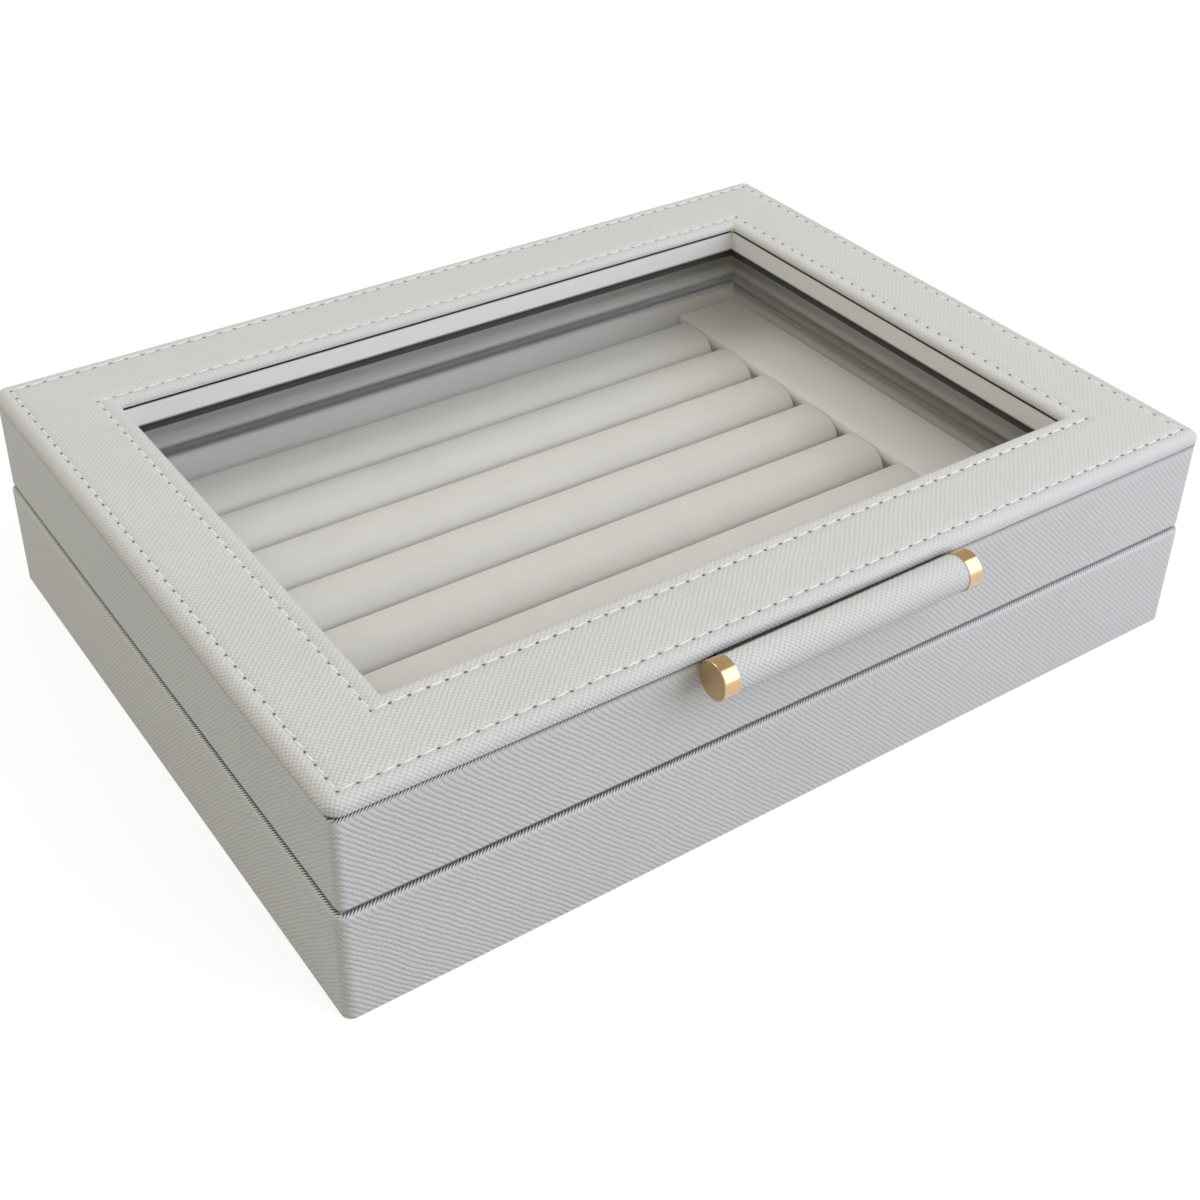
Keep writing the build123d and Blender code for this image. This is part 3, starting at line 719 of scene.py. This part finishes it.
def sweep_frame(bm, points):
    edges = frame_loop(bm)
    start = {v: v.co.copy() for v in bm.verts}
    fresh, plan = list(start), {}
    for number, ((inset, height), flat) in enumerate(zip(points, flattened(points))):
        if number:
            fresh, edges = extruded(bm, edges)
            new = set(fresh)
            for vert in fresh:
                neighbours = (e.other_vert(vert) for e in vert.link_edges)
                start[vert] = start[next(other for other in neighbours if other not in new)]
        for vert in fresh:
            spot, spread = set_in(start[vert], inset), set_in(start[vert], flat)
            vert.co = Vector((spot.x, spot.y, height))
            plan[vert] = (spread.x, -spread.y)
    layer = bm.loops.layers.uv.new("Skin")
    for face in bm.faces:
        for loop in face.loops:
            loop[layer].uv = plan[loop.vert]


def stitch_ends():
    """Every needle hole: its place in plan."""
    for half_x, half_y, count_x, count_y in STITCH_ROWS:
        for step in range(count_x + 1):
            for side in (-1, 1):
                yield (-half_x + 2 * half_x * step / count_x, side * half_y)
        for step in range(1, count_y):
            for side in (-1, 1):
                yield (side * half_x, -half_y + 2 * half_y * step / count_y)


def pucker(bm):
    """The skin is pulled down round each hole, and swells a little between them."""
    spots = list(stitch_ends())
    tree = kdtree.KDTree(len(spots))
    for number, (x, y) in enumerate(spots):
        tree.insert((x, y, 0), number)
    tree.balance()
    for vert in bm.verts:
        if vert.co.z > PAD_TOP - 1.2 * MM:
            _, _, away = tree.find((vert.co.x, vert.co.y, 0))
            vert.co.z -= 0.16 * MM * math.exp(-(away / (1.1 * MM)) ** 2)
            soft = noise.noise(vert.co * 45.0) * 0.07 * MM + noise.noise(vert.co * 160.0) * 0.03 * MM
            vert.co.z += soft


bm = bmesh.new()
sweep_frame(bm, section)
pucker(bm)
bmesh.ops.recalc_face_normals(bm, faces=bm.faces)
bmesh.ops.solidify(bm, geom=list(bm.faces), thickness=SKIN)
pad = piece("padded_frame", bm, pad_leather, "lid", ["pad_cover"])

# %% [markdown]
# ## Foam under the skin
# Four strips of foam lie on the card. Nobody sees them while the skin is whole, but they are soft,
# so they are crowned strips with mitred ends and pressed edges, not plain blocks.

# %% Foam strips
def foam_strip(side):
    low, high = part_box(f"pad_foam_{side}")
    bm = bmesh.new()
    long_x = (high - low)[0] > (high - low)[1]
    along, across = (0, 1) if long_x else (1, 0)
    cuts = (48, 6) if long_x else (6, 36)
    middle, half = (high + low) / 2, (high - low) / 2
    outer_edge = (low if side in ("front", "left") else high)[across]
    spread = Matrix.Diagonal((half.x, half.y, 1, 1))
    bmesh.ops.create_grid(bm, x_segments=cuts[0], y_segments=cuts[1], size=1.0,
                          matrix=Matrix.Translation((middle.x, middle.y, low.z)) @ spread)
    for vert in bm.verts:
        free = half[along] - abs(outer_edge - vert.co[across]) - 0.15 * MM
        vert.co[along] = middle[along] + (vert.co[along] - middle[along]) / half[along] * free
    made = bmesh.ops.extrude_face_region(bm, geom=list(bm.faces))["geom"]
    for vert in (g for g in made if isinstance(g, bmesh.types.BMVert)):
        depth = abs(outer_edge - vert.co[across])
        crown = math.sin(math.pi * min(1.0, depth / (2 * half[across])))
        vert.co.z = low.z + (high.z - low.z) * (0.55 + 0.38 * crown)
    return bm


for side in ("front", "back", "left", "right"):
    strip = piece(f"foam_strip_{side}", foam_strip(side), foam, "lid", [f"pad_foam_{side}"])

# %% [markdown]
# ## Stitches
# The thread lies on the skin from hole to hole and dives at both ends. One stitch is a small
# stretched ball, sunk a little into the dip. It is repeated round both rows with a slight
# unevenness, from a fixed seed, because no machine sews 350 equal stitches.

# %% Thread
def stitch_places():
    for half_x, half_y, count_x, count_y in STITCH_ROWS:
        corners = [Vector((x * half_x, y * half_y, 0)) for x, y in ((-1, -1), (1, -1), (1, 1), (-1, 1))]
        for number, count in enumerate((count_x, count_y, count_x, count_y)):
            begin, end = corners[number], corners[(number + 1) % 4]
            for step in range(count):
                yield begin.lerp(end, step / count), begin.lerp(end, (step + 1) / count)


THREAD = 0.20 * MM
thread_height = PAD_TOP - 0.36 * MM
uneven = random.Random(11)
one = bmesh.new()
bmesh.ops.create_uvsphere(one, u_segments=8, v_segments=6, radius=1.0, matrix=Matrix.Rotation(math.pi / 2, 4, "Y"))
stitch_mesh = bpy.data.meshes.new("one stitch")
bm = bmesh.new()
for first, last in stitch_places():
    run = last - first
    heading = math.atan2(run.y, run.x) + math.radians(5.0 + uneven.uniform(-2.2, 2.2))
    centre = (first + last) / 2 + Vector((uneven.uniform(-1, 1), uneven.uniform(-1, 1) + 2.0, 0)) * 0.06 * MM
    shape = (run.length * 0.39 * uneven.uniform(0.94, 1.03), THREAD, THREAD * 0.9)
    matrix = (Matrix.Translation((centre.x, centre.y, thread_height)) @ Matrix.Rotation(heading, 4, "Z")
              @ Matrix.Diagonal((*shape, 1)))
    one.to_mesh(stitch_mesh)
    stitch_mesh.transform(matrix)
    bm.from_mesh(stitch_mesh)
one.free()
bpy.data.meshes.remove(stitch_mesh)
piece("pad_stitches", bm, thread, "lid")

# %% [markdown]
# ## The velvet rolls
# Eight soft rolls lie side by side, and a ring is pressed into the gap between two of them. A roll
# is foam in velvet. Its neighbours press on it, so its section lies between a circle and a square. A
# cylinder is cut into rings along its length, its ends are beveled, its section is squared, and slow
# noise moves its skin in and out.

# %% Rolls
ROLL_RADIUS = 9.45 * MM
ROLL_EDGE = 1.0 * MM
ROLL_SQUARE = 2.6


def velvet_roll(number):
    low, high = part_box(f"ring_roll_{number}")
    middle = (low + high) / 2
    length = high.x - low.x
    bm = bmesh.new()
    lay = Matrix.Translation(middle) @ Matrix.Rotation(math.pi / 2, 4, "Y")
    bmesh.ops.create_cone(bm, cap_ends=True, cap_tris=False, segments=48, radius1=ROLL_RADIUS, radius2=ROLL_RADIUS,
                          depth=length, matrix=lay)
    caps = [f for f in bm.faces if len(f.verts) > 4]
    rims = list({e for f in caps for e in f.edges})
    bmesh.ops.bevel(bm, geom=rims, offset=ROLL_EDGE, offset_type="OFFSET", affect="EDGES", segments=5,
                    profile=0.5, material=-1)
    rails = [e for e in bm.edges if e.calc_length() > 0.5 * length]
    bmesh.ops.subdivide_edges(bm, edges=rails, cuts=54, use_grid_fill=True)
    caps = [f for f in bm.faces if len(f.verts) > 4]
    for share in (0.55, 0.5):
        width = (ROLL_RADIUS - ROLL_EDGE) * share * 0.55
        bmesh.ops.inset_region(bm, faces=caps, thickness=width, use_even_offset=True)
        caps = [f for f in bm.faces if len(f.verts) > 4]
    for vert in bm.verts:
        spoke = Vector((0, vert.co.y - middle.y, vert.co.z - middle.z))
        wave = noise.noise(Vector((vert.co.x * 28, spoke.y * 60 + number * 3.1, spoke.z * 60)))
        squeeze = 1.0
        if spoke.length > 1e-6:
            along_y, along_z = abs(spoke.y) / spoke.length, abs(spoke.z) / spoke.length
            squeeze = (along_y ** ROLL_SQUARE + along_z ** ROLL_SQUARE) ** (-1 / ROLL_SQUARE)
        swell = squeeze * (1 - 0.010 * (1 - wave))
        vert.co.y, vert.co.z = middle.y + spoke.y * swell, middle.z + spoke.z * swell
        vert.co.z = max(vert.co.z, low.z + 0.02 * MM)
    return bm


for number in range(1, 9):
    roll = piece(f"velvet_roll_{number}", velvet_roll(number), roll_velvet, "base",
                 [f"ring_roll_{number}"])

# %% [markdown]
# ## The velvet strips at the ends of the rolls
# A card box wrapped in the same velvet over a little foam: nearly flat, with soft upper edges and
# a top that swells by less than a millimetre. A cube is cut finely, its upper edges are beveled,
# and the top is crowned.

# %% End strips
def end_strip(side):
    low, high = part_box(f"insert_end_pad_{side}")
    middle, half = (low + high) / 2, (high - low) / 2
    bm = bmesh.new()
    bmesh.ops.create_cube(bm, size=2.0, matrix=Matrix.Translation(middle) @ Matrix.Diagonal((*half, 1)))
    top_edges = [e for e in bm.edges if all(v.co.z > middle.z for v in e.verts)]
    uprights = [e for e in bm.edges if abs(e.verts[0].co.z - e.verts[1].co.z) > half.z]
    bmesh.ops.bevel(bm, geom=top_edges + uprights, offset=1.0 * MM, offset_type="OFFSET", affect="EDGES",
                    segments=5, profile=0.5, material=-1)
    for axis, step in ((0, 2.4 * MM), (1, 3.0 * MM)):
        rails = [e for e in bm.edges if abs(e.verts[0].co[axis] - e.verts[1].co[axis]) > half[axis]]
        bmesh.ops.subdivide_edges(bm, edges=rails, cuts=round(2 * half[axis] / step), use_grid_fill=True)
    for vert in bm.verts:
        across = (vert.co.x - middle.x) / half.x
        if vert.co.z > high.z - 0.1 * MM:
            vert.co.z -= 0.25 * MM * across ** 4 - noise.noise(vert.co * 50) * 0.06 * MM
    return bm


for side in ("left", "right"):
    strip = piece(f"velvet_end_strip_{side}", end_strip(side), painted_light_strip_velvet, "base",
                  [f"insert_end_pad_{side}"], angle=40)

# %% [markdown]
# ## The leather of the pull
# One strip of leatherette is tucked under the padded frame, comes out over the front edge, goes
# round a wooden dowel and back, and is glued to itself. Its section is drawn once, with a spin round
# the dowel for the wrap, and extruded along the bar. On the box, the strip is where the pull flexes.

# %% Pull leather
ROD_Y, ROD_Z = -94.8 * MM, 52.5 * MM
WRAP_RADIUS = 4.35 * MM
WRAP_LEFT, WRAP_RIGHT = -32.1 * MM, 32.1 * MM
TAIL_TOP, TAIL_BOTTOM = 54.72 * MM, 54.08 * MM
TAIL_END, TAIL_BEND = -78.0 * MM, -90.0 * MM


def tangent_angle(y, z, upper):
    """The angle, seen from the rod's middle, at which a line from that point touches the wrap."""
    to_y, to_z = y - ROD_Y, z - ROD_Z
    opening = math.acos(WRAP_RADIUS / math.hypot(to_y, to_z))
    return math.atan2(to_z, to_y) + (opening if upper else -opening)


def pull_section(bm):
    """Draws a closed loop of edges in the plane of the left end of the wrap."""
    start = tangent_angle(TAIL_BEND, TAIL_TOP, True)
    touch_y, touch_z = ROD_Y + WRAP_RADIUS * math.cos(start), ROD_Z + WRAP_RADIUS * math.sin(start)
    stop = tangent_angle(-90.4 * MM, TAIL_BOTTOM, False) + 2 * math.pi
    top = [bm.verts.new((WRAP_LEFT, y * MM, TAIL_TOP)) for y in (-78.0, -82.0, -86.0, -88.5, -89.4, -90.0)]
    for number in (1, 2, 3):
        share = number / 4
        y = TAIL_BEND + share * (touch_y - TAIL_BEND)
        z = TAIL_TOP + share * (touch_z - TAIL_TOP)
        top.append(bm.verts.new((WRAP_LEFT, y, z)))
    touch = bm.verts.new((WRAP_LEFT, touch_y, touch_z))
    top.append(touch)
    for first, second in zip(top, top[1:]):
        bm.edges.new((first, second))
    spun = bmesh.ops.spin(bm, geom=[touch], cent=(WRAP_LEFT, ROD_Y, ROD_Z), axis=(1, 0, 0), angle=stop - start,
                          steps=44, use_merge=False)
    last = next(g for g in spun["geom_last"] if isinstance(g, bmesh.types.BMVert))
    under = [bm.verts.new((WRAP_LEFT, y * MM, TAIL_BOTTOM)) for y in (-90.4, -89.4, -88.5, -86.0, -82.0, -78.0)]
    chain = [last] + under + [top[0]]
    for first, second in zip(chain, chain[1:]):
        bm.edges.new((first, second))


bm = bmesh.new()
pull_section(bm)
bmesh.ops.remove_doubles(bm, verts=bm.verts, dist=0.005 * MM)
edges = list(bm.edges)
PULL_STEPS = 44
for step in range(PULL_STEPS):
    fresh, edges = extruded(bm, edges)
    bmesh.ops.translate(bm, verts=fresh, vec=((WRAP_RIGHT - WRAP_LEFT) / PULL_STEPS, 0, 0))
for vert in bm.verts:
    slack = noise.noise(Vector((vert.co.x * 90, vert.co.y * 120, vert.co.z * 120))) * 0.05 * MM
    spoke = Vector((0, vert.co.y - ROD_Y, vert.co.z - ROD_Z))
    if vert.co.y < -91.5 * MM:
        vert.co += spoke.normalized() * (slack - 0.05 * MM)
bmesh.ops.holes_fill(bm, edges=[e for e in bm.edges if e.is_boundary], sides=0)


def strip_length(point):
    """How far along the flat strip a point lies, from the end that is tucked under the pad."""
    begin = tangent_angle(TAIL_BEND, TAIL_TOP, True)
    turn = (math.atan2(point.z - ROD_Z, point.y - ROD_Y) - begin + 0.5) % (2 * math.pi) - 0.5
    if point.y > ROD_Y + WRAP_RADIUS * math.cos(begin) and point.z > TAIL_BOTTOM - 0.1 * MM:
        return TAIL_END - point.y
    return TAIL_END - (ROD_Y + WRAP_RADIUS * math.cos(begin)) + WRAP_RADIUS * turn


layer = bm.loops.layers.uv.new("Skin")
for face in bm.faces:
    for loop in face.loops:
        loop[layer].uv = (loop.vert.co.x, strip_length(loop.vert.co))
wrap = piece("pull_leather", bm, pull_leather, None, ["pull_wrap", "pull_tail"], angle=60)
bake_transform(wrap)

# %% [markdown]
# ## Hinge screws
# Each hinge leaf is held by two countersunk screws with a cross recess. A screw is a spun profile:
# head, cone and thread, and its recess is pressed in by moving an inset cross of faces down.

# %% Screws
HEAD_RADIUS, SHANK_RADIUS, SCREW_LENGTH = 1.75 * MM, 0.95 * MM, 8.0 * MM


def screw(x, y, z, up):
    """One screw with the top of its head at z. Its tip points down if up is 1, and up if it is -1."""
    bm = bmesh.new()
    bmesh.ops.create_circle(bm, cap_ends=True, segments=20, radius=HEAD_RADIUS)
    top = bm.faces[:][0]
    edges = list(top.edges)
    profile = [(HEAD_RADIUS, -0.12), (SHANK_RADIUS, -0.95)]
    turn = -1.6
    while turn > -7.0:
        profile += [(SHANK_RADIUS * 0.78, turn), (SHANK_RADIUS, turn - 0.25)]
        turn -= 0.62
    profile += [(SHANK_RADIUS * 0.45, -7.5), (0.05 * MM, -SCREW_LENGTH / MM + 0.05)]
    for radius, depth in profile:
        fresh, edges = extruded(bm, edges)
        for vert in fresh:
            flat = Vector((vert.co.x, vert.co.y, 0)).normalized() * radius
            vert.co = Vector((flat.x, flat.y, depth * MM))
    bmesh.ops.holes_fill(bm, edges=edges, sides=0)
    bmesh.ops.inset_region(bm, faces=[top], thickness=0.75 * MM, use_even_offset=True)
    for depth in (0.0, -0.55):
        bmesh.ops.inset_region(bm, faces=[top], thickness=0.02 * MM, use_even_offset=True)
        for vert in top.verts:
            angle = math.atan2(vert.co.y, vert.co.x)
            reach = 1.0 if depth or abs(math.cos(2 * angle)) > 0.75 else 0.5
            vert.co = Vector((vert.co.x * reach, vert.co.y * reach, depth * MM))
    place = Matrix.Translation((x, y, z)) @ (Matrix.Identity(4) if up > 0 else Matrix.Rotation(math.pi, 4, "X"))
    bmesh.ops.transform(bm, matrix=place, verts=bm.verts)
    mesh = bpy.data.meshes.new("one screw")
    bm.to_mesh(mesh)
    bm.free()
    return mesh


for body, height, up in (("base", 29.0 * MM, 1), ("lid", 29.3 * MM, -1)):
    bm = bmesh.new()
    for hinge_x in (-75 * MM, 75 * MM):
        for offset in (-7 * MM, 7 * MM):
            single = screw(hinge_x + offset, 85.2 * MM, height, up)
            bm.from_mesh(single)
            bpy.data.meshes.remove(single)
    piece(f"hinge_screw_set_{body}", bm, steel, body, [f"hinge_screws_{body}"], angle=35)

# %% [markdown]
# ## Floor and light
# The box stands on a plain white floor. The floor is a pale matt surface that takes the box's
# shadow. For rays from the camera, or seen in metal and glass, it adds a glow of its own, stronger
# far from the box, so that it reads as white paper without more light on the box. One large soft
# lamp stands to the right of the front, high up, slightly cool, and a weaker one at the back left.
# A pale, warm sky gives the rest, so the left side stays in a warm half shade.

# %% Floor
bm = bmesh.new()
bmesh.ops.create_grid(bm, x_segments=1, y_segments=1, size=6.0)
mesh = bpy.data.meshes.new("floor")
bm.to_mesh(mesh)
bm.free()
floor = bpy.data.objects.new("floor", mesh)
bpy.context.scene.collection.objects.link(floor)
material = bpy.data.materials.new("white floor")
material.use_nodes = True
tree = material.node_tree
shader = tree.nodes["Principled BSDF"]
shader.inputs["Base Color"].default_value = (0.36, 0.36, 0.36, 1)
shader.inputs["Roughness"].default_value = 0.9
shader.inputs["Specular IOR Level"].default_value = 0.0
ray = add(tree, "ShaderNodeLightPath").outputs
seen = maths(tree, "MAXIMUM", maths(tree, "MAXIMUM", ray["Is Camera Ray"], ray["Is Glossy Ray"]),
             ray["Is Transmission Ray"])
spot_on_floor = add(tree, "ShaderNodeTexCoord").outputs["Object"]
far = add(tree, "ShaderNodeVectorMath", {0: spot_on_floor}, operation="LENGTH").outputs["Value"]
strength = remap(tree, far, 0.35, 1.2, 0.72, 0.92)
shown = maths(tree, "MULTIPLY", seen, strength)
glow = add(tree, "ShaderNodeEmission", {"Color": (1, 1, 1, 1), "Strength": shown})
both = add(tree, "ShaderNodeAddShader", {0: shader.outputs[0], 1: glow.outputs[0]})
tree.links.new(both.outputs[0], tree.nodes["Material Output"].inputs["Surface"])
mesh.materials.append(material)
print("floor", floor.dimensions[:])

# %% Sky
world = bpy.data.worlds.new("studio")
world.use_nodes = True
bpy.context.scene.world = world
tree = world.node_tree
background = tree.nodes["Background"]
background.inputs["Color"].default_value = (1.0, 0.95, 0.86, 1)
background.inputs["Strength"].default_value = 0.60
paper = add(tree, "ShaderNodeBackground", {"Color": (1, 1, 1, 1), "Strength": 1.0})
ray = add(tree, "ShaderNodeLightPath").outputs
either = add(tree, "ShaderNodeMixShader", {0: ray["Is Camera Ray"], 1: background.outputs[0], 2: paper.outputs[0]})
tree.links.new(either.outputs[0], tree.nodes["World Output"].inputs["Surface"])
print("sky strength", background.inputs["Strength"].default_value)


# %% Lamps
def lamp(name, place, target, width, watts, colour):
    data = bpy.data.lights.new(name, "AREA")
    data.shape = "SQUARE"
    data.size = width
    data.energy = watts
    data.color = colour
    made = bpy.data.objects.new(name, data)
    made.location = place
    made.rotation_euler = (Vector(target) - Vector(place)).to_track_quat("-Z", "Y").to_euler()
    bpy.context.scene.collection.objects.link(made)


lamp("window light", (0.66, -0.80, 0.62), (0, -0.02, 0.03), 1.2, 10.4, (0.91, 1.0, 1.21))
lamp("ceiling light", (-0.50, 0.70, 1.4), (0, 0, 0.03), 0.9, 6.8, (0.98, 1.01, 1.01))
print("lamps: 2")

# %% [markdown]
# ## Colours stay as written
# The view transform is Standard, so a colour of the render is the colour of the light.

# %% Finish
bpy.context.scene.view_settings.view_transform = "Standard"
